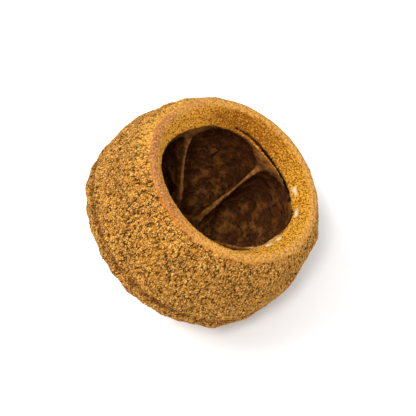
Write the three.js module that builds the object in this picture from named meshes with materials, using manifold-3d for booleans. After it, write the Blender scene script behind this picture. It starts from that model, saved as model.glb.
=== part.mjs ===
// Sapucaia pod: the empty woody pot of one ripe fruit, its lid shed and its seeds gone.
// It lies on a small flat spot at the side of its base, so that its mouth leans towards +X.
// Millimetres, +Z up, origin on the resting surface under the middle of the pod's outline.

import * as THREE from 'three';
import { mergeVertices } from 'three/addons/utils/BufferGeometryUtils.js';
import Module from 'manifold-3d';

const wasm = await Module();
wasm.setup();

const rad = THREE.MathUtils.degToRad;
const { abs, atan2, cos, exp, hypot, PI, pow, sign, sin, sqrt } = Math;

// Stance: the lean of the mouth's axis, and where the pod's middle stands over the origin
const LEAN = rad(27.8);
const MIDDLE = new THREE.Vector3(0.5, 0, 58.5);

// Outside of the wall, [radius, height] from the stalk scar to the lip, heights from the middle
const GIRTH = 64.2;
const BASE_END = -58;
const OUTSIDE = [
  [0, BASE_END + 1.4], [6, BASE_END + 1.2], [9.5, BASE_END - 0.6], [14, BASE_END + 0.3],
  [24, -54.4], [35, -47.8], [43.6, -41.5], [50.2, -33.9], [57.4, -25.5], [62.9, -16.5],
  [GIRTH, -6], [62.9, 6.6], [59.8, 17], [56.9, 27.7], [50.1, 36.6],
];
const OUTSIDE_STEPS = 32;

// Rim: a smooth round lip, then a bevel that slopes in to the throat
const LIP_TOP = [[49, 37.5], [47.3, 38], [45.6, 37.7], [44.3, 36.9]];
const BEVEL = [[42.9, 35.3], [41, 32.7], [39.4, 30.6]];
const THROAT_RADIUS = 38.6;
const THROAT_HEIGHT = 29.5;
const LIP_OVAL = 1.0;
const LIP_FLARE = { azimuth: rad(63), spread: rad(42), rise: 1.6 };
const THROAT_SCALLOP = 1.2;

// Hollow down the middle: it follows the free edges of the four partitions to the bottom
const HOLLOW = [
  [37.9, 25], [37, 18], [32, 10], [28.5, 4], [24, -2], [20, -7], [16, -12], [12, -20], [7, -29],
  [0, -34],
];
const HOLLOW_STEPS = 12;

// Four partitions stand between four seed chambers
const PARTITIONS = [rad(-142), rad(-46), rad(44.5), rad(121)];
const PARTITION_THICKNESS = 2.2;
const CHAMBER = { radius: 28.4, reach: 19.6, slant: 4.5, bottom: -39, top: 27 };
const CHAMBER_SQUARENESS = 0.42;

// Split between the rim's wood and the peeling lining, a crescent in the bevel's lower edge
const SPLIT = { from: rad(2), to: rad(78), radius: 38.3, width: 1.5, low: 22, high: 33 };

// Belt scar of the calyx, a shallow crease just below the widest part
const CREASE = { height: -8, depth: 0.9, width: 2.2, swell: 0.7, swellWidth: 5 };

// Broad swellings and hollows of the wall: where, how far they spread, and how far they rise
const SWELLINGS = [
  { azimuth: rad(115), height: 14, spread: 15, rise: -1.0 },
  { azimuth: rad(140), height: 32, spread: 9, rise: -1.6 },
  { azimuth: rad(172), height: -18, spread: 22, rise: 1.0 },
  { azimuth: rad(-140), height: -32, spread: 15, rise: -1.0 },
  { azimuth: rad(-130), height: -10, spread: 20, rise: 0.6 },
  { azimuth: rad(-90), height: -30, spread: 14, rise: -1.0 },
  { azimuth: rad(-84), height: -8, spread: 14, rise: 0.9 },
  { azimuth: rad(-52), height: -12, spread: 15, rise: -1.3 },
  { azimuth: rad(-46), height: 22, spread: 9, rise: -1.8 },
  { azimuth: rad(-20), height: 14, spread: 16, rise: 1.1 },
  { azimuth: rad(85), height: 26, spread: 12, rise: 0.8 },
];

// Corky lumps all over the outside: waves in seeded directions, fading out at the smooth lip
const LUMPS = { waves: 30, shortest: 9, longest: 16, rise: 0.55, seed: 7 };

const TURNS = 90;
const CHAMBER_GRID = { around: 26, down: 18 };

// Same stream of numbers from 0 to 1 on every run
function seeded(seed) {
  let state = seed;
  return () => {
    state = (state * 1664525 + 1013904223) % 4294967296;
    return state / 4294967296;
  };
}

function corkyWaves() {
  const draw = seeded(LUMPS.seed);
  return Array.from({ length: LUMPS.waves }, () => {
    const up = 2 * draw() - 1;
    const around = 2 * PI * draw();
    const length = LUMPS.shortest + (LUMPS.longest - LUMPS.shortest) * draw();
    const flat = sqrt(1 - up * up);
    const direction = new THREE.Vector3(flat * cos(around), flat * sin(around), up);
    return { vector: direction.multiplyScalar((2 * PI) / length), phase: 2 * PI * draw() };
  });
}

const WAVES = corkyWaves();

function corkyLump(point) {
  const sum = WAVES.reduce((total, wave) => total + sin(wave.vector.dot(point) + wave.phase), 0);
  return (LUMPS.rise * sum) / sqrt(LUMPS.waves);
}

function bell(distance, width) {
  return exp(-((distance / width) ** 2));
}

// How far two directions about the axis are apart
function turnBetween(a, b) {
  return abs(atan2(sin(a - b), cos(a - b)));
}

// Smooth step from 0 at `start` to 1 at `end`
function ease(value, start, end) {
  return THREE.MathUtils.smootherstep(value, start, end);
}

// From -1 on a partition to 1 in the middle of a chamber
function chamberWave(azimuth) {
  const starts = PARTITIONS.map((from, i) => {
    const to = i < 3 ? PARTITIONS[i + 1] : PARTITIONS[0] + 2 * PI;
    const along = (azimuth - from + 4 * PI) % (2 * PI);
    return along / (to - from);
  });
  return -cos(2 * PI * starts.find((share) => share >= 0 && share <= 1));
}

// How far the wall's outside stands out of its plain turned shape
function wallRise(point) {
  const azimuth = atan2(point.y, point.x);
  const low = point.z - CREASE.height;
  let rise = corkyLump(point) * ease(36 - point.z, 0, 7);
  rise -= CREASE.depth * bell(low, CREASE.width);
  rise += CREASE.swell * bell(low + CREASE.swellWidth, CREASE.swellWidth);
  for (const swelling of SWELLINGS) {
    const turn = turnBetween(azimuth, swelling.azimuth);
    const away = hypot(turn * GIRTH, point.z - swelling.height);
    rise += swelling.rise * bell(away, swelling.spread);
  }
  return rise;
}

// Turned profile: up the outside, over the rim, and down the hollow to the axis
function potProfile() {
  const vectors = (pairs) => pairs.map(([radius, height]) => new THREE.Vector2(radius, height));
  const outside = new THREE.SplineCurve(vectors(OUTSIDE)).getSpacedPoints(OUTSIDE_STEPS);
  const throat = [[THROAT_RADIUS, THROAT_HEIGHT]];
  const hollow = new THREE.SplineCurve(vectors([...throat, ...HOLLOW]));
  outside[0].x = 0;
  const inside = hollow.getSpacedPoints(HOLLOW_STEPS);
  inside[HOLLOW_STEPS].x = 0;
  return { outside, inside: [...vectors([...LIP_TOP, ...BEVEL]), ...inside] };
}

// The whole pot before its chambers are cut, about its own axis
function potGeometry() {
  const { outside, inside } = potProfile();
  const geometry = new THREE.LatheGeometry([...outside, ...inside], TURNS).rotateX(PI / 2);
  const { position, normal } = geometry.attributes;
  const rows = outside.length + inside.length;
  const point = new THREE.Vector3();
  const outward = new THREE.Vector3();
  for (let i = 0; i < position.count; i += 1) {
    point.fromBufferAttribute(position, i);
    outward.fromBufferAttribute(normal, i);
    const radius = hypot(point.x, point.y);
    if (radius < 1e-6) {
      point.x = 0;
      point.y = 0;
    } else {
      const azimuth = atan2(point.y, point.x);
      const rim = ease(point.z, 8, 34);
      const throat = ease(point.z, 5, 24) * ease(46 - radius, 0, 8);
      const flare = bell(turnBetween(azimuth, LIP_FLARE.azimuth), LIP_FLARE.spread);
      const outerRim = ease(point.z, 12, 36) * ease(radius, 40, 48);
      let widened = LIP_OVAL * rim * cos(2 * azimuth) + LIP_FLARE.rise * flare * outerRim;
      if (i % rows < outside.length) {
        point.addScaledVector(outward, wallRise(point) * ease(radius, 4, 14));
      } else {
        widened += THROAT_SCALLOP * throat * chamberWave(azimuth);
      }
      point.x += (widened * point.x) / radius;
      point.y += (widened * point.y) / radius;
    }
    position.setXYZ(i, point.x, point.y, point.z);
  }
  return geometry;
}

// One seed chamber: a rounded wedge between two partitions, drawn from a sphere
function chamberGeometry(from, to) {
  const { around, down } = CHAMBER_GRID;
  const geometry = new THREE.SphereGeometry(1, around, down).rotateX(PI / 2);
  const position = geometry.attributes.position;
  const middle = (from + to) / 2;
  const halfAngle = (to - from) / 2;
  const halfHeight = (CHAMBER.top - CHAMBER.bottom) / 2;
  for (let i = 0; i < position.count; i += 1) {
    const [x, y, z] = [position.getX(i), position.getY(i), position.getZ(i)];
    const ring = hypot(x, y);
    const across = ring > 1e-6 ? y / ring : 0;
    const radius = CHAMBER.radius + CHAMBER.reach * x + CHAMBER.slant * z;
    const spread = sqrt(1 - pow(abs(z), 6)) * sign(across) * pow(abs(across), CHAMBER_SQUARENESS);
    const azimuth = middle + spread * (halfAngle - PARTITION_THICKNESS / 2 / radius);
    const height = (CHAMBER.top + CHAMBER.bottom) / 2 + halfHeight * z;
    position.setXYZ(i, radius * cos(azimuth), radius * sin(azimuth), height);
  }
  return geometry;
}

// Crescent that opens between the rim and the lining
function splitGeometry() {
  const { from, to, radius, width, low, high } = SPLIT;
  const middle = (from + to) / 2;
  const steps = 14;
  const outline = new THREE.Shape();
  for (let i = 0; i <= 2 * steps; i += 1) {
    const share = i <= steps ? i / steps : 2 - i / steps;
    const azimuth = from + (to - from) * share;
    const side = i <= steps ? 0.5 : -0.5;
    const here = radius + side * width * sin(PI * share) + THROAT_SCALLOP * chamberWave(azimuth);
    if (i === 0) outline.moveTo(here * cos(azimuth), here * sin(azimuth));
    else if (i < 2 * steps) outline.lineTo(here * cos(azimuth), here * sin(azimuth));
  }
  const geometry = new THREE.ExtrudeGeometry(outline, { depth: high - low, bevelEnabled: false });
  return geometry.translate(-0.3 * cos(middle), -0.3 * sin(middle), low);
}

// Leans the pod's own axis over and lifts its middle to its place
function stand(geometry) {
  return geometry.rotateY(LEAN).translate(MIDDLE.x, MIDDLE.y, MIDDLE.z);
}

// Closed solid from a geometry, its shared vertices merged and its collapsed faces dropped
function solid(source) {
  const bare = source.clone();
  bare.deleteAttribute('normal');
  bare.deleteAttribute('uv');
  const merged = mergeVertices(bare, 1e-3);
  const index = merged.index.array;
  const faces = [];
  for (let i = 0; i < index.length; i += 3) {
    const [a, b, c] = [index[i], index[i + 1], index[i + 2]];
    if (a !== b && b !== c && c !== a) faces.push(a, b, c);
  }
  return new wasm.Manifold(new wasm.Mesh({
    numProp: 3,
    vertProperties: Float32Array.from(merged.attributes.position.array),
    triVerts: Uint32Array.from(faces),
  }));
}

function geometryOf(body) {
  const mesh = body.getMesh();
  const geometry = new THREE.BufferGeometry();
  geometry.setAttribute('position', new THREE.BufferAttribute(mesh.vertProperties, 3));
  geometry.setIndex(new THREE.BufferAttribute(mesh.triVerts, 1));
  return geometry;
}

function pod() {
  let body = solid(stand(potGeometry()));
  PARTITIONS.forEach((from, i) => {
    const to = i < 3 ? PARTITIONS[i + 1] : PARTITIONS[0] + 2 * PI;
    body = body.subtract(solid(stand(chamberGeometry(from, to))));
  });
  body = body.subtract(solid(stand(splitGeometry())));
  const ground = new THREE.BoxGeometry(200, 200, 40).translate(0, 0, -20);
  body = body.subtract(solid(ground));
  const bark = new THREE.MeshStandardMaterial({ color: 0xb98536, roughness: 0.9, metalness: 0 });
  const mesh = new THREE.Mesh(geometryOf(body), bark);
  mesh.name = 'pod';
  return mesh;
}

const group = new THREE.Group();
group.add(pod());

export default group;
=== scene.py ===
# %% [markdown]
# # A sapucaia pod
#
# The fruit of the sapucaia tree is a woody pot. When it is ripe its lid drops off, the seeds fall
# out, and the empty pot stays on the tree for a while before it falls too. This lesson builds one
# such pot as a single closed mesh, from its broad shape down to the grains of its corky crust.
#
# The imported model is loaded first. It says where the pod stands and how large it is, and nothing
# in it is moved. The finished piece has to stay inside it.

# %% Load the fixed frame
import math
import bpy
import numpy as np
from mathutils import Euler, Matrix, Vector


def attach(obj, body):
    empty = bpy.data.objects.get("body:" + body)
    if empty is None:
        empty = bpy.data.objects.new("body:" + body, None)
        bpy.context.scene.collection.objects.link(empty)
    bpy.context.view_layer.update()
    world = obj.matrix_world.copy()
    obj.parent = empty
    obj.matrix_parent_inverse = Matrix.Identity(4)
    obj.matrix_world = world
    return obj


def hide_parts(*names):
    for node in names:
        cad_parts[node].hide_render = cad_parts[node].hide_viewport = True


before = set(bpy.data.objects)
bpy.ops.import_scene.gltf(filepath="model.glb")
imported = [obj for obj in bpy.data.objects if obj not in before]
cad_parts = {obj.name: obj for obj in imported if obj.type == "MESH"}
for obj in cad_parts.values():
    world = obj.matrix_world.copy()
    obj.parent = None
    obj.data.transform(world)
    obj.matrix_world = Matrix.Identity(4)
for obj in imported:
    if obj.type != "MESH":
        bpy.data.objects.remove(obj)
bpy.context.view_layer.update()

MM = 0.001

# %% [markdown]
# ## The pod's own axis
#
# The pot grew round an axis that runs from its stalk to the middle of its mouth. Lying on its side,
# the pod tips that axis over towards +X. Everything is modelled upright about this axis, in
# millimetres from the middle of the pod, and is leaned over only once, in the mesh itself. Working
# upright keeps every step simple: a radius, a height and a direction say where a thing is.

# %% Stance
LEAN = math.radians(27.8)
MIDDLE = Vector((0.5, 0, 58.5)) * MM
stand = Matrix.Translation(MIDDLE) @ Euler((0, LEAN, 0)).to_matrix().to_4x4()
print(f"the axis leans {math.degrees(LEAN):.1f} degrees from upright")

# %% [markdown]
# ## The turned outline
#
# A few points give the wall's outline from the stalk scar, up the round belly, over the lip and
# down the bevel to the throat, then down the hollow to the axis. A smooth curve runs through them.
# A sculpted sphere could give the belly, but only a turned outline keeps the rim's rings clean.

# %% Outline points, radius and height in mm
GIRTH = 64.2
BASE_END = -58.0
LIP = (50.1, 36.6)
THROAT = (38.6, 29.5)
OUTSIDE = [
    (0, BASE_END + 1.4), (6, BASE_END + 1.2), (9.5, BASE_END - 0.6), (14, BASE_END + 0.3),
    (24, -54.4), (35, -47.8), (43.6, -41.5), (50.2, -33.9), (57.4, -25.5), (62.9, -16.5),
    (GIRTH, -6), (62.9, 6.6), (59.8, 17), (56.9, 27.7), LIP,
]
RIM = [LIP, (49, 37.5), (47.3, 38), (45.6, 37.7), (44.3, 36.9), (42.9, 35.3), (41, 32.7), THROAT]
HOLLOW = [THROAT, (37.9, 25), (37, 18), (32, 10), (28.5, 4), (24, -2), (20, -7), (16, -12),
          (12, -20), (7, -29), (0, -34)]
print(f"{len(OUTSIDE)} points outside, {len(RIM)} on the rim, {len(HOLLOW)} in the hollow")


# %% Smooth curve through the points
def curve_through(points, spacing, steps_per_span=40):
    """Points about `spacing` apart on a smooth curve through the given ones."""
    p = np.array(points, float)
    p = np.vstack([2 * p[0] - p[1], p, 2 * p[-1] - p[-2]])
    fine = []
    for a, b, c, d in zip(p, p[1:], p[2:], p[3:]):
        t = np.linspace(0, 1, steps_per_span, endpoint=False)[:, None]
        fine.append(0.5 * (2 * b + (c - a) * t + (2 * a - 5 * b + 4 * c - d) * t**2
                           + (3 * b - a - 3 * c + d) * t**3))
    fine = np.vstack([*fine, p[-2]])
    run = np.concatenate([[0], np.cumsum(np.linalg.norm(np.diff(fine, axis=0), axis=1))])
    even = np.linspace(0, run[-1], max(2, round(run[-1] / spacing)) + 1)
    return np.column_stack([np.interp(even, run, fine[:, k]) for k in (0, 1)])


parts = [curve_through(OUTSIDE, 2.0), curve_through(RIM, 1.0)[1:], curve_through(HOLLOW, 1.8)[1:]]
outline = np.vstack(parts)
along_outline = np.concatenate([[0], np.cumsum(np.linalg.norm(np.diff(outline, axis=0), axis=1))])
LIP_AT = along_outline[len(parts[0]) - 1]
THROAT_AT = along_outline[len(parts[0]) + len(parts[1]) - 1]
print(f"{len(outline)} points; lip at {LIP_AT:.1f} mm, throat at {THROAT_AT:.1f} mm along")

# %% [markdown]
# ## The pot is spun
#
# The outline is drawn as a chain of extruded vertices, and the chain is spun once round the axis.
# The first and last steps of the spin meet, and so do the ends on the axis, so doubles are merged
# and the normals are recalculated after that.


# %% Helpers for selecting
def deselect_all():
    if bpy.context.object and bpy.context.object.mode != "OBJECT":
        bpy.ops.object.mode_set(mode="OBJECT")
    bpy.ops.object.select_all(action="DESELECT")


def only(obj):
    """Makes one object the only selected one, and the active one."""
    deselect_all()
    obj.select_set(True)
    bpy.context.view_layer.objects.active = obj


# %% Spin the outline
TURNS = 216
deselect_all()
bpy.ops.mesh.primitive_plane_add(size=MM)
pod = bpy.context.object
pod.name = "dry_pod"
bpy.ops.object.mode_set(mode="EDIT")
bpy.ops.mesh.select_all(action="SELECT")
bpy.ops.mesh.merge(type="CENTER")
bpy.ops.transform.translate(value=Vector((outline[0][0], 0, outline[0][1])) * MM)
for here, there in zip(outline, outline[1:]):
    step = Vector((there[0] - here[0], 0, there[1] - here[1])) * MM
    bpy.ops.mesh.extrude_region_move(TRANSFORM_OT_translate={"value": step})
bpy.ops.mesh.select_all(action="SELECT")
bpy.ops.mesh.spin(steps=TURNS, angle=2 * math.pi, center=(0, 0, 0), axis=(0, 0, 1))
bpy.ops.mesh.select_all(action="SELECT")
bpy.ops.mesh.remove_doubles(threshold=0.01 * MM)
bpy.ops.mesh.normals_make_consistent(inside=False)
bpy.ops.object.mode_set(mode="OBJECT")
print("spun pot:", len(pod.data.vertices), "vertices")

# %% [markdown]
# ## Uneven growth
#
# No pod is truly turned. Proportional editing by hand would make it uneven; moving the points by a
# few smooth formulas does the same, and each bump keeps a plain place and size. These helpers
# read and write a mesh's points in millimetres, and say where on the outline a point lies.


# %% Soft steps and bumps
def smooth(value, start, end):
    """From 0 at start to 1 at end, with soft ends."""
    t = np.clip((value - start) / (end - start), 0, 1)
    return t * t * (3 - 2 * t)


def bell(distance, width):
    """1 at the middle, fading out over about the width."""
    return np.exp(-((distance / width) ** 2))


def turn_between(a, b):
    """How far two directions round the axis are apart, in radians."""
    return np.abs(np.arctan2(np.sin(a - b), np.cos(a - b)))


# %% Points in mm
def read_points(obj):
    flat = np.empty(3 * len(obj.data.vertices))
    obj.data.vertices.foreach_get("co", flat)
    return flat.reshape(-1, 3) / MM


def write_points(obj, points):
    obj.data.vertices.foreach_set("co", (points * MM).ravel())
    obj.data.update()


def read_normals(obj):
    flat = np.empty(3 * len(obj.data.vertices))
    obj.data.vertex_normals.foreach_get("vector", flat)
    return flat.reshape(-1, 3)


def place_on_outline(radius, height):
    """How far along the outline each point lies, and how far off it."""
    along = np.zeros(len(radius))
    off = np.full(len(radius), np.inf)
    for (a, b, start) in zip(outline, outline[1:], along_outline):
        side = b - a
        t = np.clip(((radius - a[0]) * side[0] + (height - a[1]) * side[1]) / (side @ side), 0, 1)
        away = np.hypot(radius - a[0] - t * side[0], height - a[1] - t * side[1])
        near = away < off
        off[near] = away[near]
        along[near] = start + t[near] * np.linalg.norm(side)
    return along, off


# %% [markdown]
# ## Swellings, lumps and the belt
#
# The belly has broad swellings and flats, small corky lumps all over, and a faint belt where the
# flower's calyx left its scar. The swellings are placed one by one, as on the real pod. The lumps
# are the sum of many waves in random directions, which gives no row and no seam.

# %% Sizes of the swellings and the lumps
CREASE_HEIGHT = -8.0
SWELLINGS = [  # direction in degrees, height, spread and rise in mm
    (115, 14, 15, -1.0), (140, 32, 9, -1.6), (172, -18, 22, 1.0), (-140, -32, 15, -1.0),
    (-130, -10, 20, 0.6), (-90, -30, 14, -1.0), (-84, -8, 14, 0.9), (-52, -12, 15, -1.3),
    (-46, 22, 9, -1.8), (-20, 14, 16, 1.1), (85, 26, 12, 0.8),
]
LUMPS = {"waves": 30, "shortest": 9, "longest": 16, "rise": 0.55, "seed": 7}
print(f"{len(SWELLINGS)} swellings and flats")


# %% Corky lumps
def seeded(seed):
    """The same stream of numbers from 0 to 1 on every run."""
    while True:
        seed = (seed * 1664525 + 1013904223) % 2**32
        yield seed / 2**32


def corky_lumps(points):
    """How far the lumps lift each point, in mm."""
    draw = seeded(LUMPS["seed"])
    total = np.zeros(len(points))
    for _ in range(LUMPS["waves"]):
        up = 2 * next(draw) - 1
        turn = 2 * math.pi * next(draw)
        length = LUMPS["shortest"] + (LUMPS["longest"] - LUMPS["shortest"]) * next(draw)
        flat = math.sqrt(1 - up * up)
        wave = np.array([flat * math.cos(turn), flat * math.sin(turn), up]) * 2 * math.pi / length
        total += np.sin(points @ wave + 2 * math.pi * next(draw))
    return LUMPS["rise"] * total / math.sqrt(LUMPS["waves"])


# %% [markdown]
# ## Oval lip, scalloped throat, loose lining
#
# The lip is a little oval and flares on one side. The throat is tight at each partition and wide
# between them. On one side the thin lining has dried and shrunk inwards, away from the rim's wood.
# All three only move points out from the axis or in towards it.

# %% Widening of the rim
PARTITIONS = [math.radians(a) for a in (-142, -46, 44.5, 121)]
CHAMBER_SPANS = list(zip(PARTITIONS, [*PARTITIONS[1:], PARTITIONS[0] + 2 * math.pi]))
LIP_OVAL = 1.0
LIP_FLARE = {"direction": math.radians(63), "spread": math.radians(42), "rise": 1.6}
THROAT_SCALLOP = 1.2


def rim_widening(azimuth, radius, height):
    """How far the oval and the flare of the lip widen the rim."""
    flare = bell(turn_between(azimuth, LIP_FLARE["direction"]), LIP_FLARE["spread"])
    flare *= LIP_FLARE["rise"] * smooth(height, 12, 36) * smooth(radius, 40, 48)
    return LIP_OVAL * smooth(height, 8, 34) * np.cos(2 * azimuth) + flare


def chamber_wave(azimuth):
    """From -1 on a partition to 1 in the middle of a chamber."""
    wave = np.zeros(len(azimuth))
    for start, end in CHAMBER_SPANS:
        share = ((azimuth - start) % (2 * math.pi)) / (end - start)
        wave = np.where(share <= 1, -np.cos(2 * math.pi * share), wave)
    return wave


def throat_widening(azimuth, radius, height):
    """How far the scallops widen the throat between two partitions."""
    return THROAT_SCALLOP * smooth(height, 5, 24) * smooth(46 - radius, 0, 8) * chamber_wave(azimuth)


# %% Shift of the loose lining
LOOSE = {"from": math.radians(-6), "to": math.radians(102), "inward": 3.5}


def loose_lining(azimuth, along):
    """How far the lining has shrunk inwards, off the rim's wood."""
    share = np.clip((azimuth - LOOSE["from"]) / (LOOSE["to"] - LOOSE["from"]), 0, 1)
    band = smooth(along, THROAT_AT - 1.5, THROAT_AT + 0.5)
    band *= smooth(along, THROAT_AT + 12, THROAT_AT + 5)
    return LOOSE["inward"] * np.sin(math.pi * share) ** 0.4 * band


# %% Move the points
points = read_points(pod)
azimuth = np.arctan2(points[:, 1], points[:, 0])
radius = np.hypot(points[:, 0], points[:, 1])
height = points[:, 2]
along, off = place_on_outline(radius, height)
wall = along < LIP_AT + 0.01

rise = corky_lumps(points) * smooth(36 - height, 0, 7)
rise -= 0.9 * bell(height - CREASE_HEIGHT, 2.2)
rise += 0.7 * bell(height - CREASE_HEIGHT + 5, 5)
for direction, middle, spread, how_far in SWELLINGS:
    turn = turn_between(azimuth, math.radians(direction))
    rise += how_far * bell(np.hypot(turn * GIRTH, height - middle), spread)
rise *= smooth(radius, 4, 14) * wall

wider = rim_widening(azimuth, radius, height)
wider += np.where(wall, 0, throat_widening(azimuth, radius, height))
wider -= loose_lining(azimuth, along)
around = np.column_stack([np.cos(azimuth), np.sin(azimuth), np.zeros(len(azimuth))])
points += rise[:, None] * read_normals(pod) + (wider * (radius > 0.1))[:, None] * around
write_points(pod, points)
print(f"wall rises from {rise.min():.1f} to {rise.max():.1f} mm")

# %% [markdown]
# ## Seed chambers
#
# Four chambers held the seeds, with thin woody partitions between them that reach up under the
# lip. Each chamber is a ball whose points are pushed out to a rounded wedge between two partitions,
# and it is cut out of the pot with a Boolean. Building the partitions and joining them would leave
# seams where they meet the wall; cutting the chambers leaves them grown together, as they are.

# %% Helper that cuts
PARTITION_THICKNESS = 1.4
CHAMBER = {"radius": 28.4, "reach": 19.6, "slant": 4.5, "bottom": -39, "top": 28}
SQUARENESS = 0.28


def cut_away(cutter):
    """Cuts one object out of the pod and removes it."""
    only(pod)
    cut = pod.modifiers.new("cut", "BOOLEAN")
    cut.operation = "DIFFERENCE"
    cut.solver = "EXACT"
    cut.object = cutter
    bpy.ops.object.modifier_apply(modifier=cut.name)
    bpy.data.objects.remove(cutter)


# %% Cut the chambers
for start, end in CHAMBER_SPANS:
    deselect_all()
    bpy.ops.mesh.primitive_uv_sphere_add(segments=64, ring_count=44, radius=MM)
    chamber = bpy.context.object
    x, y, z = read_points(chamber).T
    ring = np.hypot(x, y)
    across = np.divide(y, ring, out=np.zeros(len(y)), where=ring > 1e-6)
    reach = CHAMBER["radius"] + CHAMBER["reach"] * x + CHAMBER["slant"] * z
    spread = np.sqrt(np.maximum(0, 1 - np.abs(z) ** 6))
    spread *= np.sign(across) * np.abs(across) ** SQUARENESS
    turn = (start + end) / 2 + spread * ((end - start) / 2 - PARTITION_THICKNESS / 2 / reach)
    level = (CHAMBER["top"] + CHAMBER["bottom"]) / 2 + (CHAMBER["top"] - CHAMBER["bottom"]) / 2 * z
    write_points(chamber, np.column_stack([reach * np.cos(turn), reach * np.sin(turn), level]))
    cut_away(chamber)
print("with chambers:", len(pod.data.vertices), "vertices")

# %% [markdown]
# ## The lining splits from the rim
#
# Where the lining shrank away, a black gap opened between it and the rim's wood. The gap is a flat
# box with many segments, laid round the throat by a formula, thin at both ends, and cut out of the
# pot. Past its lower end the gap is only a hairline, which is painted dark later as shade and not
# cut.

# %% Cut the split
SPLIT = {"from": math.radians(1), "to": math.radians(93), "radius": 37.6, "width": 1.9}
SPLIT_LOW = 24.4
SPLIT_HIGH = 33.0
# A little under a right angle, so that the cosine stays above nothing at both ends.
END_ANGLE = 1.42

deselect_all()
bpy.ops.mesh.primitive_grid_add(x_subdivisions=1, y_subdivisions=40, size=2 * MM)
split = bpy.context.object
bpy.ops.object.mode_set(mode="EDIT")
bpy.ops.mesh.select_all(action="SELECT")
bpy.ops.mesh.extrude_region_move(TRANSFORM_OT_translate={"value": (0, 0, MM)})
bpy.ops.mesh.select_all(action="SELECT")
bpy.ops.mesh.normals_make_consistent(inside=False)
bpy.ops.object.mode_set(mode="OBJECT")
x, y, z = read_points(split).T
azimuth = SPLIT["from"] + (y + 1) / 2 * (SPLIT["to"] - SPLIT["from"])
thin = np.sqrt(np.cos(END_ANGLE * y))
radius = SPLIT["radius"] + x / 2 * SPLIT["width"] * thin + THROAT_SCALLOP * chamber_wave(azimuth)
write_points(split, np.column_stack([radius * np.cos(azimuth), radius * np.sin(azimuth),
                                     SPLIT_LOW + z * (SPLIT_HIGH - SPLIT_LOW)]))
cut_away(split)
print("with split:", len(pod.data.vertices), "vertices")

# %% [markdown]
# ## One skin
#
# The cuts leave long thin faces and hard corners. A voxel remesh lays one even skin of small quads
# over the whole pod, inside and out, and a light smoothing takes the voxels' steps away. This skin
# is fine enough to carry the crust's grains as real relief.

# %% Remesh and smooth
VOXEL = 0.62


def apply_modifier(obj, kind, **settings):
    """Adds a modifier with its settings, and applies it."""
    only(obj)
    modifier = obj.modifiers.new(kind.lower(), kind)
    for name, value in settings.items():
        setattr(modifier, name, value)
    bpy.ops.object.modifier_apply(modifier=modifier.name)


apply_modifier(pod, "REMESH", mode="VOXEL", voxel_size=VOXEL * MM)
apply_modifier(pod, "SMOOTH", factor=0.5, iterations=3)
print("skin:", len(pod.data.vertices), "vertices")

# %% [markdown]
# ## Where each point lies
#
# The crust, the lip, the bevel and the lining each have their own grain and colour, and they meet
# along rings. So every point stores where it lies: its place in the upright pod in millimetres, and
# how far along the outline it is. The relief and the colours both read these, so that a grain's
# dark rim always sits in its groove. Painting the zones by hand on so fine a mesh would never be as
# even. The oval, the scallops and the loose lining are taken off first, so that the rings stay true.

# %% Place along the outline
points = read_points(pod)
azimuth = np.arctan2(points[:, 1], points[:, 0])
height = points[:, 2]
radius = np.hypot(points[:, 0], points[:, 1])
radius -= rim_widening(azimuth, radius, height)
along, off = place_on_outline(radius, height)
scallop = throat_widening(azimuth, radius, height)
inner = along > LIP_AT
along[inner], off[inner] = place_on_outline((radius - scallop)[inner], height[inner])
before_drying = radius - scallop + loose_lining(azimuth, along)
along[inner], off[inner] = place_on_outline(before_drying[inner], height[inner])

# What lies deep under the wall belongs to a chamber, and is lining too.
LINING_AT = THROAT_AT + 20
WALL_DEPTH = 3.4
along[(along < THROAT_AT) & (off > WALL_DEPTH)] = LINING_AT
print(f"points on the crust: {np.mean(along < LIP_AT):.0%}")

# %% [markdown]
# ## Inside of the split and edges of the partitions
#
# The split's inside is painted black as shade, and it goes on below its cut end as a painted dark
# hairline. The partitions' free edges are paler where the lining is worn through to wood, with a
# painted highlight on them and on the chambers' arches, most of all on the one under the low side of
# the mouth. The underside of the rim is paler too.

# %% Mark the split
# The split's inside is painted black as shade, and so is the hairline below it.
in_split = np.abs(radius - scallop - SPLIT["radius"]) < SPLIT["width"] / 2 + 0.3
in_split &= (azimuth > SPLIT["from"]) & (azimuth < SPLIT["to"])
in_split &= (height > SPLIT_LOW) & (height < 28.6)
HAIRLINE = {"from": math.radians(-28), "to": math.radians(-6), "below_throat": 1.3}
hairline = np.abs(along - THROAT_AT - HAIRLINE["below_throat"]) < 0.8
hairline &= (azimuth > HAIRLINE["from"]) & (azimuth < HAIRLINE["to"]) & (off < 1.2)
in_split |= hairline
print("points in the split:", int(in_split.sum()))

# %% Mark the partitions' free edges
near_partition = np.min([turn_between(azimuth, side) for side in PARTITIONS], axis=0) * radius
free_edge = smooth(off, 1.2, 0.5) * smooth(near_partition, 9.0, 4.0) * (along > THROAT_AT)
free_edge *= smooth(radius, 3, 22) * (1 - 0.55 * smooth(height, 12, 22))
# The chambers' arches get a thin painted highlight line.
arch_highlight = bell(off - 1.1, 0.5) * smooth(along, THROAT_AT, THROAT_AT + 2) * smooth(height, 2, 14)
free_edge = np.maximum(free_edge, 0.35 * arch_highlight)
under_rim = smooth(off, 1.5, 0.6) * smooth(along, THROAT_AT + 10, THROAT_AT + 4)
# The free edge under the low side of the mouth gets a strong painted highlight over its pale wood.
front_edge = smooth(turn_between(azimuth, PARTITIONS[1]) * radius, 9.0, 5.0) * smooth(height, 6, 14)
front_edge = front_edge * (along > THROAT_AT) * smooth(off, 1.3, 0.6)
print(f"points on free edges: {np.mean(free_edge > 0.5):.1%}")

# %% [markdown]
# ## Pale spots and a rubbed streak
#
# Four small pale spots lie on the throat's edge, and the lip has an orange streak where it
# was rubbed on one side. The far side of the bevel gets a painted shade in deeper amber.

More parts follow.
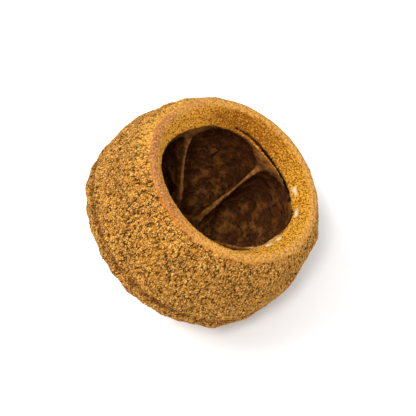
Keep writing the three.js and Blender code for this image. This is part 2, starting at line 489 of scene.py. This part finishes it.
# %% Mark the pale spots, the streak and the far side's painted shade
SPOT_PLACES = [(10, 2.4), (-10, 2.6), (-43, 2.2), (-54, 2.6)]  # direction in degrees, half length in mm
THROAT_RADIUS = 39
STREAK_AT = math.radians(-142)
SHADED_FAR_SIDE = {"direction": math.radians(78), "spread": math.radians(50)}

# Four small pale spots along the throat's edge.
pale_spots = np.zeros(len(points))
for direction, half_length in SPOT_PLACES:
    turn = turn_between(azimuth, math.radians(direction)) * THROAT_RADIUS
    from_middle = np.hypot(turn / half_length, (along - THROAT_AT + 2.0) / 0.7)
    pale_spots = np.maximum(pale_spots, smooth(from_middle, 1.15, 0.8))
from_streak = turn_between(azimuth, STREAK_AT)
streak = 0.6 * smooth(from_streak, 0.3, 0.12) + 0.35 * smooth(from_streak, 1.7, 1.2)
streak *= bell(along - LIP_AT - 0.5, 0.6)
# Where the bevel's far side gets its amber painted shade.
shaded_far_side = 0.9 * bell(turn_between(azimuth, SHADED_FAR_SIDE["direction"]), SHADED_FAR_SIDE["spread"])


# %% Store it all on the mesh
def store(obj, name, values):
    """Keeps one value or vector for each point under a name that materials can read."""
    kind = "FLOAT_VECTOR" if values.ndim > 1 else "FLOAT"
    attribute = obj.data.attributes.new(name, kind, "POINT")
    attribute.data.foreach_set("vector" if values.ndim > 1 else "value", values.ravel())


stored = {"place": points, "along": along, "free_edge": free_edge, "front_edge": front_edge,
          "under_rim": under_rim, "in_split": in_split.astype(float), "pale_spots": pale_spots,
          "streak": streak, "shaded_far_side": shaded_far_side}
for name, values in stored.items():
    store(pod, name, values)
print("stored:", ", ".join(stored))

# %% [markdown]
# ## One pattern for relief and colour
#
# A small helper adds one node with its settings and links. It works in a geometry tree and in a
# shader tree alike, because both know the same noise and cell patterns, so the pattern is written
# once and read twice.


# %% Node helper
def add(tree, kind, inputs=(), **settings):
    """Adds a node. Inputs go by order or by name; each is a value, a socket or another node."""
    made = tree.nodes.new(kind)
    for name, value in settings.items():
        setattr(made, name, value)
    pairs = inputs.items() if isinstance(inputs, dict) else enumerate(inputs)
    for key, value in pairs:
        shown = [s for s in made.inputs if s.enabled]
        socket = shown[key] if isinstance(key, int) else next(s for s in shown if s.name == key)
        if isinstance(value, bpy.types.Node):
            value = next(s for s in value.outputs if s.enabled)
        if isinstance(value, bpy.types.NodeSocket):
            tree.links.new(value, socket)
        else:
            socket.default_value = value
    return made


# %% [markdown]
# ## The crust's grains
#
# The pod's skin is cork. As the fruit swelled it tore into small grains with short dark clefts
# between them, and near the lip the grains draw out a little towards it. Cell noise gives grains
# with clefts at their borders; a slow wobble makes them worm-like. The cells are 1.4 mm across. A
# second noise closes part of the clefts, so that neighbours join into grains of 2 to 3 mm, because
# a full net of clefts would look like lizard skin.


# %% Place drawn out towards the lip
def drawn_out(tree, place, along):
    """Sockets with how near the lip a point is, and its place for the grains' pattern."""
    axes = add(tree, "ShaderNodeSeparateXYZ", [place])
    near_lip = add(tree, "ShaderNodeMapRange", [along, LIP_AT - 13, LIP_AT - 3],
                   interpolation_type="SMOOTHSTEP")
    past_lip = add(tree, "ShaderNodeMath", [axes.outputs["Z"], 24.0], operation="SUBTRACT")
    past_lip = add(tree, "ShaderNodeMath", [past_lip, 0.0], operation="MAXIMUM")
    level = add(tree, "ShaderNodeMath", [past_lip, -0.55, axes.outputs["Z"]],
                operation="MULTIPLY_ADD")
    level = add(tree, "ShaderNodeMath", [level, 0.62], operation="MULTIPLY")
    stretched = add(tree, "ShaderNodeCombineXYZ", [axes.outputs["X"], axes.outputs["Y"], level])
    return near_lip, stretched


# %% Grains and clefts
GRAIN = 1.4
FINE_GRAIN = 0.7
WOBBLE_LENGTH = 2.2
WOBBLE_REACH = 3.0
PATCH_LENGTH = 1.6


def grains_and_clefts(tree, stretched):
    """Each grain's distance to its edge and its own value, the torn patches and the clefts."""
    wobble = add(tree, "ShaderNodeTexNoise",
                 {"Vector": stretched, "Scale": 1 / WOBBLE_LENGTH, "Detail": 2.0})
    wobble = add(tree, "ShaderNodeVectorMath", [wobble.outputs["Color"], (0.5, 0.5, 0.5)],
                 operation="SUBTRACT")
    wobbly = add(tree, "ShaderNodeVectorMath", [wobble, (WOBBLE_REACH,) * 3, stretched],
                 operation="MULTIPLY_ADD")
    cells = add(tree, "ShaderNodeTexVoronoi", {"Vector": wobbly, "Scale": 1 / GRAIN},
                feature="DISTANCE_TO_EDGE")
    each = add(tree, "ShaderNodeTexVoronoi", {"Vector": wobbly, "Scale": 1 / GRAIN}, feature="F1")
    own = add(tree, "ShaderNodeSeparateXYZ", [each.outputs["Color"]]).outputs[0]
    patches = add(tree, "ShaderNodeTexNoise",
                  {"Vector": stretched, "Scale": 1 / PATCH_LENGTH, "Detail": 2.0})
    torn = add(tree, "ShaderNodeMapRange", [patches, 0.46, 0.62], interpolation_type="SMOOTHSTEP")
    groove = add(tree, "ShaderNodeMapRange", [cells, 0.02, 0.18, 1.0, 0.0],
                 interpolation_type="SMOOTHSTEP")
    cleft = add(tree, "ShaderNodeMath", [groove, torn], operation="MULTIPLY")
    return cells, own, torn, cleft


# %% Height of the crust in mm
def cork_pattern(tree, place, along):
    """Sockets with the clefts' darkness, the grit and the crust's height in mm."""
    near_lip, stretched = drawn_out(tree, place, along)
    cells, own, torn, cleft = grains_and_clefts(tree, stretched)
    mound = add(tree, "ShaderNodeMapRange", [cells, 0.0, 0.4, -0.35, 0.0],
                interpolation_type="SMOOTHSTEP")
    grit = add(tree, "ShaderNodeTexNoise", {"Vector": place, "Scale": 1 / FINE_GRAIN, "Detail": 2.0})
    height = add(tree, "ShaderNodeMath", [cleft, -0.55, mound], operation="MULTIPLY_ADD")
    height = add(tree, "ShaderNodeMath", [own, 0.14, height], operation="MULTIPLY_ADD")
    height = add(tree, "ShaderNodeMath", [grit, 0.34, height], operation="MULTIPLY_ADD")
    height = add(tree, "ShaderNodeMath", [height, 0.34], operation="SUBTRACT")
    calm = add(tree, "ShaderNodeMapRange", [near_lip, 0.0, 1.0, 1.0, 0.75])
    height = add(tree, "ShaderNodeMath", [height, calm], operation="MULTIPLY")
    return {"near_lip": near_lip, "grain": cells, "torn": torn, "cleft": cleft, "grit": grit,
            "height": height}


# %% [markdown]
# ## Where the zones meet
#
# The crust breaks off along the lip in a ragged line, and so does the lip's worn band above the
# bevel. The lining starts in a clean line just below the throat. A noise pushes the first two
# borders to and fro.

# %% Masks of the zones
RAGGED_LENGTH = 2.5
RAGGED_REACH = 5.0


def zones(tree, place, along):
    """Sockets that are 1 on the crust, on the bevel and all below it, and on the lining."""
    edge_noise = add(tree, "ShaderNodeTexNoise",
                     {"Vector": place, "Scale": 1 / RAGGED_LENGTH, "Detail": 3.0})
    edge_noise = add(tree, "ShaderNodeMath", [edge_noise, 0.5], operation="SUBTRACT")
    ragged = add(tree, "ShaderNodeMath", [edge_noise, RAGGED_REACH, along],
                 operation="MULTIPLY_ADD")
    crust = add(tree, "ShaderNodeMapRange", [ragged, LIP_AT - 0.6, LIP_AT + 0.6, 1.0, 0.0],
                interpolation_type="SMOOTHSTEP")
    bevel = add(tree, "ShaderNodeMapRange", [ragged, LIP_AT + 4.8, LIP_AT + 6.4],
                interpolation_type="SMOOTHSTEP")
    lining = add(tree, "ShaderNodeMapRange", [along, THROAT_AT + 0.1, THROAT_AT + 0.9],
                 interpolation_type="SMOOTHSTEP")
    return {"crust": crust, "bevel": bevel, "lining": lining}


# %% [markdown]
# ## The rim and the lining
#
# The lip is worn smooth, and the bevel below it is cut through hard wood, so it shows only fine
# pores. The lining is a dry skin in soft folds, with crumbs of old pulp left on it. Each gets a
# relief of its own, and the zones' masks choose between them.

# %% Relief of every zone
PORE_LENGTH = 1.3
FOLD_LENGTH = 7.0
CRUMB_LENGTH = 2.2


def relief(tree, place, along):
    """The pattern, with the height of every zone put together in mm."""
    pattern = {**cork_pattern(tree, place, along), **zones(tree, place, along)}
    pores = add(tree, "ShaderNodeTexNoise",
                {"Vector": place, "Scale": 1 / PORE_LENGTH, "Detail": 3.0})
    pore_height = add(tree, "ShaderNodeMapRange", [pores, 0.3, 0.7, -0.4, 0.05])
    folds = add(tree, "ShaderNodeTexNoise",
                {"Vector": place, "Scale": 1 / FOLD_LENGTH, "Detail": 4.0, "Roughness": 0.62})
    fold_height = add(tree, "ShaderNodeMapRange", [folds, 0.25, 0.75, -0.7, 0.3])
    crumbs = add(tree, "ShaderNodeTexNoise",
                 {"Vector": place, "Scale": 1 / CRUMB_LENGTH, "Detail": 5.0, "Roughness": 0.68})
    fold_height = add(tree, "ShaderNodeMath", [crumbs, 0.3, fold_height],
                      operation="MULTIPLY_ADD")
    upper = add(tree, "ShaderNodeMix", {"Factor": pattern["crust"], "A": pore_height,
                                        "B": pattern["height"]}, data_type="FLOAT")
    total = add(tree, "ShaderNodeMix", {"Factor": pattern["lining"], "A": upper,
                                        "B": fold_height}, data_type="FLOAT")
    pattern.update(pores=pores, folds=folds, crumbs=crumbs, total=total)
    return pattern


# %% [markdown]
# ## Real relief
#
# From a step away the grains are what makes it cork, and their shadows have to fall right from
# every side. So the height is pressed into the skin itself, by a small tree of geometry nodes that
# moves each point along its normal, and the tree is applied. Bump alone would leave a smooth edge
# against the floor.

# %% Press the relief into the skin
press = bpy.data.node_groups.new("press_relief", "GeometryNodeTree")
press.interface.new_socket(name="Geometry", in_out="INPUT", socket_type="NodeSocketGeometry")
press.interface.new_socket(name="Geometry", in_out="OUTPUT", socket_type="NodeSocketGeometry")
skin_in = add(press, "NodeGroupInput")
place = add(press, "GeometryNodeInputNamedAttribute", ["place"], data_type="FLOAT_VECTOR")
along_skin = add(press, "GeometryNodeInputNamedAttribute", ["along"], data_type="FLOAT")
shape = relief(press, place, along_skin)
rise = add(press, "ShaderNodeMath", [shape["total"], MM], operation="MULTIPLY")
normal = add(press, "GeometryNodeInputNormal")
push = add(press, "ShaderNodeVectorMath", {"Vector": normal, "Scale": rise}, operation="SCALE")
moved = add(press, "GeometryNodeSetPosition", {"Geometry": skin_in, "Offset": push})
add(press, "NodeGroupOutput", [moved])
apply_modifier(pod, "NODES", node_group=press)
print("relief pressed in with", len(press.nodes), "nodes")

# %% [markdown]
# ## The pod lies down
#
# The pod is leaned over about its middle and its stance is applied, so that its place is in its
# mesh. The few grains that would sink into the table are pressed flat against it. The skin has
# more faces than it needs, so it is thinned, and because thinning moves points a little, what is
# below the table is pressed flat once more.

# %% Lean the pod over
pod.matrix_world = stand
only(pod)
bpy.ops.object.transform_apply(location=True, rotation=True, scale=True)
print(f"lowest point at {read_points(pod)[:, 2].min():.2f} mm")

# %% Rest it and thin the mesh
MOST_TRIANGLES = 196000


def rest_on_floor(obj):
    """Presses what is below the floor flat against it."""
    points = read_points(obj)
    points[:, 2] = np.maximum(points[:, 2], 0)
    write_points(obj, points)


rest_on_floor(pod)
triangles = sum(len(face.vertices) - 2 for face in pod.data.polygons)
apply_modifier(pod, "DECIMATE", ratio=MOST_TRIANGLES / triangles)
rest_on_floor(pod)
bpy.ops.object.shade_smooth()
print(f"{triangles} triangles thinned to {len(pod.data.polygons)}")

# %% [markdown]
# ## Dry corky pericarp
#
# Pericarp is the botanist's word for a fruit's wall. Here it is cork over wood over a thin lining,
# all dry and matt. The whole wall is one material, because its zones have grown together and melt
# into each other. It reads the stored places, so its pattern sits exactly on the relief. Each zone
# starts from one colour, and further colours are laid over it, each through a mask.


# %% Start of the material
def linear(hex_colour):
    """An sRGB hex value as a linear colour."""
    parts = [int(hex_colour[i:i + 2], 16) / 255 for i in (1, 3, 5)]
    return (*[c / 12.92 if c <= 0.04045 else ((c + 0.055) / 1.055) ** 2.4 for c in parts], 1.0)


cork = bpy.data.materials.new("dry_corky_pericarp")
cork.use_nodes = True
tree = cork.node_tree
tree.nodes.clear()
place = add(tree, "ShaderNodeAttribute", attribute_name="place").outputs["Vector"]
mark = {name: add(tree, "ShaderNodeAttribute", attribute_name=name).outputs["Fac"]
        for name in stored if name != "place"}
shape = relief(tree, place, mark["along"])
sides = add(tree, "ShaderNodeSeparateXYZ", [place])
print("masks read from the mesh:", len(mark))

# %% [markdown]
# ### The crust
#
# Cork is golden ochre in slow drifts of tan, with dull dark specks at random. Its crowns get a
# painted highlight in pale ochre and painted glints in straw yellow, its hollows a painted shade,
# and the clefts are painted dark as shade. Near the lip the left side gets a painted highlight, and
# the belt where the calyx stood is a little darker.

# %% Masks of the crust
broad = add(tree, "ShaderNodeTexNoise", {"Vector": place, "Scale": 1 / 14.0, "Detail": 3.0})
tone = add(tree, "ShaderNodeMapRange", [broad, 0.35, 0.65])
crown = add(tree, "ShaderNodeMapRange", [shape["grain"], 0.0, 0.4, 0.35, 1.0])
# A painted highlight in pale ochre on the grains' raised crowns.
pale = add(tree, "ShaderNodeMapRange", [shape["grit"], 0.44, 0.62])
pale = add(tree, "ShaderNodeMath", [pale, crown], operation="MULTIPLY")
# A painted shade in dark tan where the grit lies low.
hollow_shade = add(tree, "ShaderNodeMapRange", [shape["grit"], 0.30, 0.46, 0.7, 0.0])
fine = add(tree, "ShaderNodeTexNoise", {"Vector": place, "Scale": 1 / 0.9, "Detail": 2.0})
dull = add(tree, "ShaderNodeMapRange", [fine, 0.36, 0.48, 0.45, 0.0])
# Painted highlight: small glints in straw yellow.
glint = add(tree, "ShaderNodeMapRange", [fine, 0.53, 0.63, 0.0, 0.6])

# %% Painted highlight on the left side, and the darker belt
# The left side gets a painted highlight: on the crust near the lip, lightest on the grains' crowns,
# and on the bevel.
lit_left_side = add(tree, "ShaderNodeMapRange", [sides.outputs["X"], 0.0, -22.0, 0.0, 0.85])
left_lip_highlight = add(tree, "ShaderNodeMapRange", [sides.outputs["Y"], -12.0, 14.0, 0.0, 0.9])
for mask in (shape["near_lip"], lit_left_side, crown):
    left_lip_highlight = add(tree, "ShaderNodeMath", [left_lip_highlight, mask], operation="MULTIPLY")
from_belt = add(tree, "ShaderNodeMath", [sides.outputs["Z"], CREASE_HEIGHT + 0.5],
                operation="SUBTRACT")
from_belt = add(tree, "ShaderNodeMath", [from_belt], operation="ABSOLUTE")
# The crust is a little darker along the belt's crease, in patches.
darker_belt = add(tree, "ShaderNodeMapRange", [from_belt, 0.6, 3.6, 0.9, 0.0])
patchy = add(tree, "ShaderNodeMapRange", [shape["folds"], 0.38, 0.56, 0.25, 1.0])
darker_belt = add(tree, "ShaderNodeMath", [darker_belt, patchy], operation="MULTIPLY")

# %% Colours of the crust
TAN = linear("#8e5416")
OCHRE = linear("#ae6f1e")
LIT_OCHRE = linear("#dea444")
TAN_DARK = linear("#643508")
STRAW = linear("#eebe6c")
# The clefts are painted near-black brown as shade.
CLEFT_SHADE = linear("#431c02")
crust_layers = [(tone, OCHRE), (pale, LIT_OCHRE), (hollow_shade, TAN_DARK), (dull, TAN_DARK),
                (glint, STRAW), (shape["cleft"], CLEFT_SHADE), (left_lip_highlight, LIT_OCHRE),
                (darker_belt, TAN_DARK)]
crust_colour = TAN
for mask, over in crust_layers:
    crust_colour = add(tree, "ShaderNodeMix", {"Factor": mask, "A": crust_colour, "B": over},
                       data_type="RGBA")
print("crust:", len(crust_layers), "colours over tan")

# %% [markdown]
# ### The bevel
#
# The bevel is cut through hard yellow wood, seen end on, so it is full of fine brown pores. Its
# left part gets a painted highlight, and its far part a painted shade in amber.

# %% Colours of the bevel
BEVEL_WOOD = linear("#c48a24")
# A painted shade in amber for the bevel's far side.
SHADE_AMBER = linear("#8c5008")
# A painted highlight on the bevel's left part.
BEVEL_LIT = linear("#f2a83a")
BEVEL_PORE = linear("#723c08")
BEVEL_PALE = linear("#dca038")
pored = add(tree, "ShaderNodeMapRange", [fine, 0.38, 0.5, 1.0, 0.0])
flecked = add(tree, "ShaderNodeMapRange", [fine, 0.52, 0.64])
# The far side's painted shade is laid on once more, over the pores.
deeper_far_shade = add(tree, "ShaderNodeMath", [mark["shaded_far_side"], 0.45], operation="MULTIPLY")
bevel_layers = [(mark["shaded_far_side"], SHADE_AMBER), (lit_left_side, BEVEL_LIT), (pored, BEVEL_PORE),
                (flecked, BEVEL_PALE), (deeper_far_shade, SHADE_AMBER)]
bevel_colour = BEVEL_WOOD
for mask, over in bevel_layers:
    bevel_colour = add(tree, "ShaderNodeMix", {"Factor": mask, "A": bevel_colour, "B": over},
                       data_type="RGBA")
print("bevel:", len(bevel_layers), "colours over bare wood")

# %% [markdown]
# ### The lip
#
# The lip's bare wood is a redder tan, worn smooth, with gold where the wear went through and some
# grime in its pores. Here the three upper zones are put together, and the streak and the pale spots
# are laid on last.

# %% Colours of the lip
LIP_WOOD = linear("#a26436")
LIP_GOLD = linear("#ce923c")
LIP_PALE = linear("#d2a466")
LIP_DARK = linear("#7a4016")
wander = add(tree, "ShaderNodeMath", [shape["folds"], 80.0, sides.outputs["X"]],
             operation="MULTIPLY_ADD")
worn = add(tree, "ShaderNodeMapRange", [wander, -10.0, 24.0])
rubbed = add(tree, "ShaderNodeMapRange", [fine, 0.5, 0.64, 0.0, 0.7])
grimy = add(tree, "ShaderNodeMapRange", [shape["pores"], 0.38, 0.52, 0.6, 0.0])
lip_layers = [(worn, LIP_GOLD), (rubbed, LIP_PALE), (grimy, LIP_DARK)]
lip_colour = LIP_WOOD
for mask, over in lip_layers:
    lip_colour = add(tree, "ShaderNodeMix", {"Factor": mask, "A": lip_colour, "B": over},
                     data_type="RGBA")
print("lip:", len(lip_layers), "colours over reddish wood")

# %% Lip, bevel and crust together
STREAK = linear("#ba6a1c")
SPOT_COLOUR = linear("#dccfb2")
colour = lip_colour
for mask, over in ((shape["bevel"], bevel_colour), (shape["crust"], crust_colour),
                   (mark["streak"], STREAK), (mark["pale_spots"], SPOT_COLOUR)):
    colour = add(tree, "ShaderNodeMix", {"Factor": mask, "A": colour, "B": over},
                 data_type="RGBA")

# %% [markdown]
# ### The lining
#
# The lining has turned dark brown. Its folds get a painted highlight on top and a painted shade
# below, crumbs of old pulp lie low down in the chambers, and its cracks here and there are painted
# dark as shade. The partitions' free edges and the underside of the rim are worn to a light tan, and
# the free edges carry a painted highlight too.

# %% Masks of the lining
# A painted highlight on the folds' tops, added to the paler crumbs.
fold_highlight = add(tree, "ShaderNodeMapRange", [shape["folds"], 0.48, 0.68, 0.0, 0.6])
crumb_tone = add(tree, "ShaderNodeMapRange", [shape["crumbs"], 0.5, 0.72, 0.0, 0.35])
fold_light_and_crumbs = add(tree, "ShaderNodeMath", [fold_highlight, crumb_tone], operation="ADD")
# A painted shade in the folds' hollows.
fold_shade = add(tree, "ShaderNodeMapRange", [shape["folds"], 0.40, 0.58, 0.6, 0.0])
low_down = add(tree, "ShaderNodeMapRange", [sides.outputs["Z"], 2.0, -24.0])
pulpy = add(tree, "ShaderNodeMath", [low_down, fold_light_and_crumbs], operation="MULTIPLY")
flakes = add(tree, "ShaderNodeTexVoronoi", {"Vector": place, "Scale": 1 / 8.0},
             feature="DISTANCE_TO_EDGE")
# The lining's cracks are painted near black as shade.
cracked = add(tree, "ShaderNodeMapRange", [flakes, 0.01, 0.05, 1.0, 0.0])
cracked = add(tree, "ShaderNodeMath", [cracked, shape["torn"]], operation="MULTIPLY")
spotted = add(tree, "ShaderNodeMapRange", [shape["crumbs"], 0.38, 0.62, 0.2, 0.95])
under_rim, free_edge, front_edge = [
    add(tree, "ShaderNodeMath", [mark[name], spotted], operation="MULTIPLY")
    for name in ("under_rim", "free_edge", "front_edge")]

# %% Colours of the lining
LINING = linear("#48250d")
LINING_PALE = linear("#844c1c")
OLD_PULP = linear("#9a642a")
CRACK_SHADE = linear("#0c0602")
THROAT_TAN = linear("#5e3a10")
EDGE_TAN = linear("#a26a30")
# The free edges' tan and pale are partly worn wood and partly painted highlight.
EDGE_PALE = linear("#e0ac68")
lining_layers = [(fold_light_and_crumbs, LINING_PALE), (fold_shade, LINING), (pulpy, OLD_PULP), (cracked, CRACK_SHADE),
                 (under_rim, THROAT_TAN), (free_edge, EDGE_TAN), (front_edge, EDGE_PALE)]
lining_colour = LINING
for mask, over in lining_layers:
    lining_colour = add(tree, "ShaderNodeMix", {"Factor": mask, "A": lining_colour, "B": over},
                        data_type="RGBA")
# The split is painted near black as shade.
for mask, over in ((shape["lining"], lining_colour), (mark["in_split"], CRACK_SHADE)):
    colour = add(tree, "ShaderNodeMix", {"Factor": mask, "A": colour, "B": over},
                 data_type="RGBA")
print("lining:", len(lining_layers), "colours over dark brown")

# %% [markdown]
# ### A dry, matt surface
#
# Dry cork and old wood have hardly any shine, so the roughness is high and the highlight weak. The
# same height that was pressed into the mesh also drives a bump, which brings back the finest grit
# that the thinned mesh can't hold.

# %% Surface of the wall
bump = add(tree, "ShaderNodeBump", {"Strength": 1.0, "Distance": 1.4 * MM, "Height": shape["total"]})
surface = add(tree, "ShaderNodeBsdfPrincipled",
              {"Base Color": colour, "Roughness": 0.85, "Normal": bump})
surface.inputs["IOR"].default_value = 1.45
surface.inputs["Specular IOR Level"].default_value = 0.12
add(tree, "ShaderNodeOutputMaterial", {"Surface": surface})
pod.data.materials.clear()
pod.data.materials.append(cork)
print("material with", len(tree.nodes), "nodes")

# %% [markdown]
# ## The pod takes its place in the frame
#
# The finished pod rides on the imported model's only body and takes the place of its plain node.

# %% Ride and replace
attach(pod, "root")
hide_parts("pod")

# %% [markdown]
# ## Floor
#
# The pod lies on plain white paper, wide enough that its edge stays out of the picture.

# %% White floor
deselect_all()
bpy.ops.mesh.primitive_plane_add(size=6)
floor = bpy.context.object
floor.name = "white_table"
paper = bpy.data.materials.new("white_matt_paper")
paper.use_nodes = True
paper.node_tree.nodes["Principled BSDF"].inputs["Base Color"].default_value = linear("#f4f4f4")
paper.node_tree.nodes["Principled BSDF"].inputs["Roughness"].default_value = 0.9
floor.data.materials.append(paper)

# %% [markdown]
# ## Light
#
# A white room fills the shadows. A large softbox stands at the upper left, and a small lamp in
# front lights the hollow and gives the grains their edge, so the shadow is short and falls to the
# right.

# %% White room
world = bpy.data.worlds.new("white_room")
world.use_nodes = True
world.node_tree.nodes["Background"].inputs["Color"].default_value = (1, 1, 1, 1)
world.node_tree.nodes["Background"].inputs["Strength"].default_value = 0.92
bpy.context.scene.world = world
bpy.context.scene.view_settings.view_transform = "Standard"
bpy.context.scene.view_settings.look = "None"

# %% Lamps
LAMPS = [  # name, place in metres, width in metres, watts
    ("softbox", (-0.62, 0.1, 0.95), 0.7, 8.5),
    ("front_lamp", (-0.15, -0.45, 1.05), 0.22, 5.0),
]
AIM = Vector((0, 0, 0.06))
for name, place_m, size, watts in LAMPS:
    bpy.ops.object.light_add(type="AREA", location=place_m)
    lamp = bpy.context.object
    lamp.name = name
    lamp.data.shape = "DISK"
    lamp.data.size = size
    lamp.data.energy = watts
    lamp.rotation_euler = (AIM - lamp.location).to_track_quat("-Z", "Y").to_euler()
print(len(LAMPS), "lamps")

# %% [markdown]
# ## Camera
#
# The camera looks down at sixty degrees, as it does when small things are photographed on a table.
# Its distance and its lens were fitted to the pod's outline, lip and throat. The two small shifts
# put the pod where it lies in the picture.

# %% Camera
ELEVATION = math.radians(60.0)
DISTANCE = 620 * MM
ASIDE = 2.17 * MM
ABOVE = 0.84 * MM
back = Vector((0, -math.cos(ELEVATION), math.sin(ELEVATION)))
up = Vector((0, math.sin(ELEVATION), math.cos(ELEVATION)))
bpy.ops.object.camera_add(location=MIDDLE + DISTANCE * back + Vector((ASIDE, 0, 0)) + ABOVE * up,
                          rotation=(math.pi / 2 - ELEVATION, 0, 0))
camera = bpy.context.object
camera.name = "camera"
camera.data.lens = 96.13
camera.data.sensor_width = 36.0
bpy.context.scene.camera = camera
print(f"camera {DISTANCE / MM:.0f} mm from the pod's middle")
